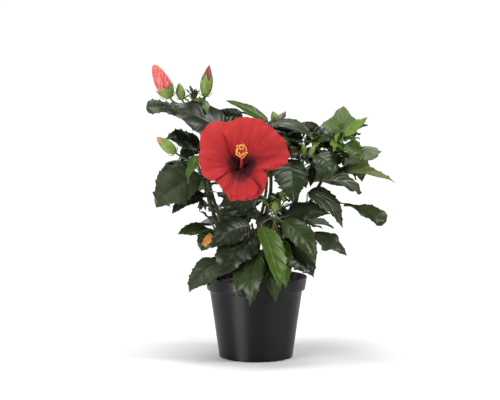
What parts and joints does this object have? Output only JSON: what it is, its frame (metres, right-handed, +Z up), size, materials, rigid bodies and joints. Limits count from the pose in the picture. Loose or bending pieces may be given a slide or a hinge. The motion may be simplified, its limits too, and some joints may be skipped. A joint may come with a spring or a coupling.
{
  "type": "potted hibiscus shrub",
  "caption": "Small bushy hibiscus in a round plastic nursery pot, with toothed green leaves, an open red bloom facing forward and buds on upright stalks.",
  "frame": {"origin": "middle of the pot's flat underside, on the ground that it stands on", "axes": "+Z up; +X to the right and +Y away, seen from where the open bloom faces, so the bloom looks along -Y"},
  "size_m": [0.3144, 0.2435, 0.3745],
  "materials": {
    "pot": "satin",
    "soil": "matt",
    "bark": "matt",
    "leaf": "satin",
    "bloom": "matt"
  },
  "bodies": {
    "root": {"bloom": "bloom", "bough_back": "bark", "bough_back_left": "bark", "bough_back_low_left": "bark", "bough_back_low_right": "bark", "bough_back_right": "bark", "bough_bloom": "bark", "bough_front_left": "bark", "bough_front_right": "bark", "bough_left": "bark", "bough_low_right": "bark", "bough_lower_left": "bark", "bough_middle_right": "bark", "bough_right": "bark", "bough_top": "bark", "bough_under_bloom": "bark", "bough_upper_left": "bark", "foliage_back": "leaf", "foliage_back_left": "leaf", "foliage_back_low_left": "leaf", "foliage_back_low_right": "leaf", "foliage_back_right": "leaf", "foliage_front_left": "leaf", "foliage_front_right": "leaf", "foliage_left": "leaf", "foliage_low_right": "leaf", "foliage_lower_left": "leaf", "foliage_middle_right": "leaf", "foliage_right": "leaf", "foliage_top": "leaf", "foliage_under_bloom": "leaf", "foliage_upper_left": "leaf", "pot": "pot", "soil": "soil", "trunk": "bark"}
  },
  "joints": []
}
